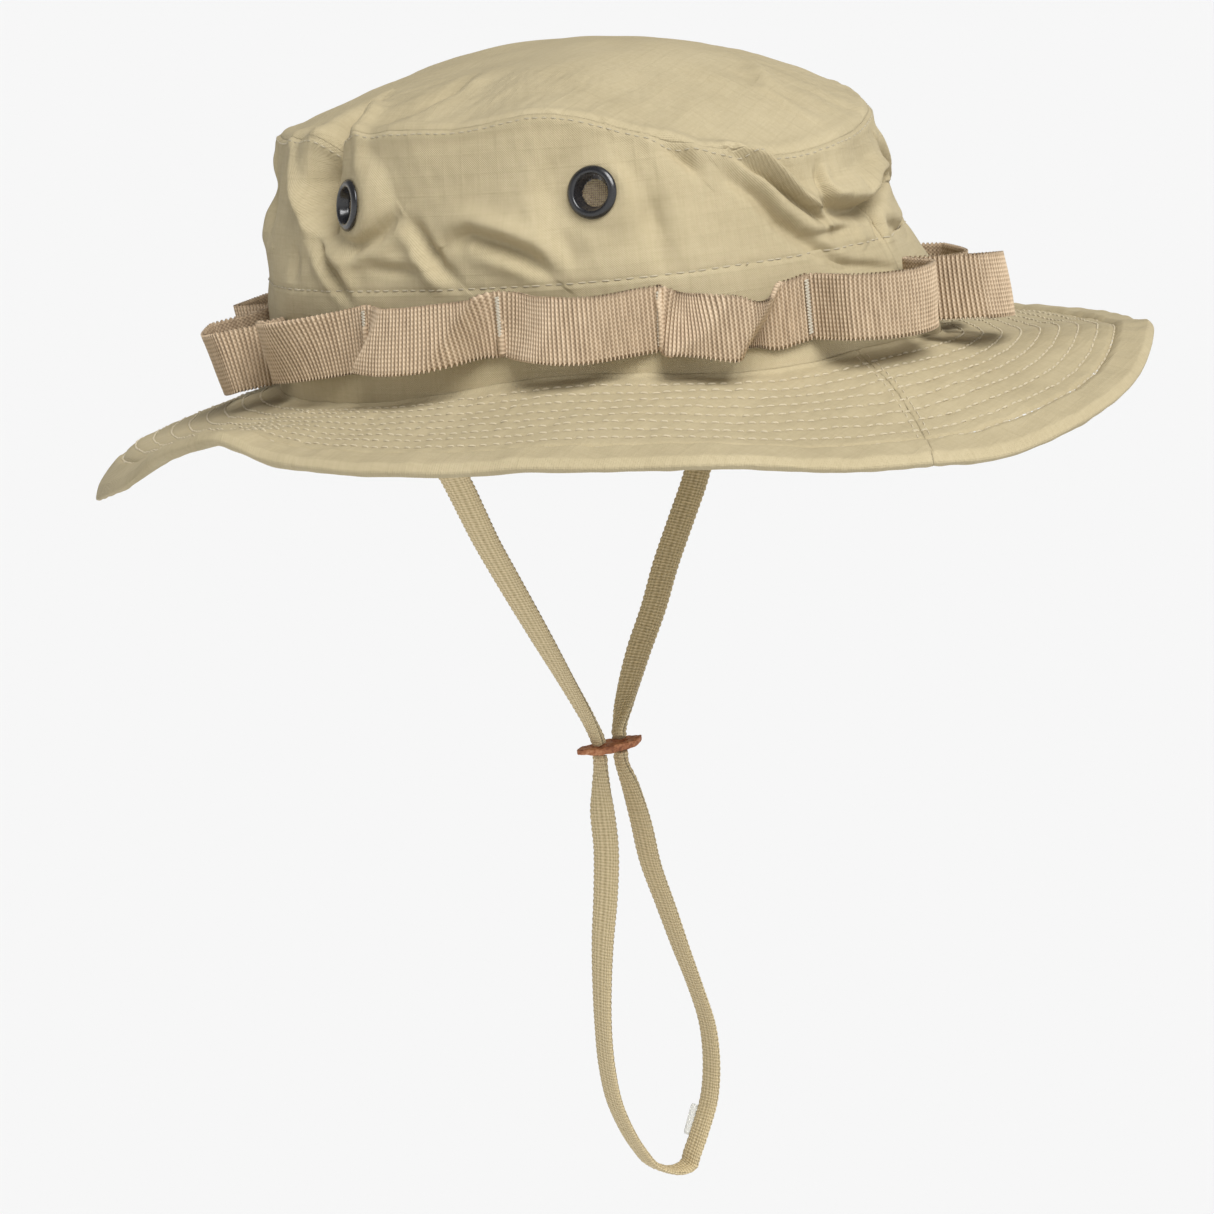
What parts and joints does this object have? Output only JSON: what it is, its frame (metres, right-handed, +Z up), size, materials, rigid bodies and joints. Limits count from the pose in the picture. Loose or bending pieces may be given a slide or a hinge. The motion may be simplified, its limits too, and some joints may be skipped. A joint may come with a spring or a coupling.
{
  "type": "boonie hat",
  "caption": "Soft brimmed sun hat with a stitched brim, a tacked webbing band, screened vents and a chin cord with a leather slider.",
  "frame": {"origin": "middle of the head opening, level with the seam that joins the crown to the brim", "axes": "+X is the front of the hat, +Y the wearer's left, +Z up through the crown"},
  "size_m": [0.3277, 0.2912, 0.3524],
  "materials": {
    "crown_cloth": "matt ripstop weave",
    "brim_cloth": "matt ripstop weave with stitch rows",
    "seam_tape": "matt twill",
    "sweatband": "matt twill",
    "label": "plain woven",
    "stiffener": "matt, felted",
    "webbing": "ribbed webbing",
    "thread": "matt thread",
    "eyelet_metal": "black enamel",
    "screen_wire": "woven wire",
    "clear_tip": "clear plastic",
    "leather": "rough leather",
    "cord": "flat braid"
  },
  "bodies": {
    "hat": {"crown_top": "crown_cloth", "crown_side_left": "crown_cloth", "crown_side_right": "crown_cloth", "tip_seam_tape": "seam_tape", "front_seam_tape": "seam_tape", "back_seam_tape": "seam_tape", "sweatband": "sweatband", "size_label": "label", "brim_upper_left": "brim_cloth", "brim_upper_right": "brim_cloth", "brim_stiffener": "stiffener", "brim_lower_left": "brim_cloth", "brim_lower_right": "brim_cloth", "foliage_band": "webbing", "band_tacks": "thread", "vent_eyelet_1": "eyelet_metal", "vent_eyelet_2": "eyelet_metal", "vent_eyelet_3": "eyelet_metal", "vent_eyelet_4": "eyelet_metal", "vent_washer_1": "eyelet_metal", "vent_washer_2": "eyelet_metal", "vent_washer_3": "eyelet_metal", "vent_washer_4": "eyelet_metal", "vent_screen_1": "screen_wire", "vent_screen_2": "screen_wire", "vent_screen_3": "screen_wire", "vent_screen_4": "screen_wire", "cord_anchor_left": "cord", "cord_anchor_right": "cord", "anchor_tacks": "thread"},
    "chin_cord": {"chin_cord_left": "cord", "chin_cord_right": "cord"},
    "slider": {"cord_slider": "leather"},
    "loop": {"chin_cord_loop": "cord", "cord_end_tip": "clear_tip"}
  },
  "joints": [
    {"name": "chin_cord_swing", "type": "hinge", "parent": "hat", "child": "chin_cord", "pos_m": [-0.01, 0, 0.003], "axis": [0, 1, 0], "range_deg": [-60, 60]},
    {"name": "slider_slide", "type": "slide", "parent": "chin_cord", "child": "slider", "axis": [0, 0, 1], "range_m": [-0.1, 0.06], "deforming": ["chin_cord_left", "chin_cord_right"]},
    {"name": "loop_takeup", "type": "slide", "parent": "slider", "child": "loop", "axis": [0, 0, 1], "range_m": [-0.05, 0.085], "deforming": ["chin_cord_loop"]}
  ],
  "couplings": [
    {"joint": "loop_takeup", "follows": "slider_slide", "ratio": -0.8}
  ]
}
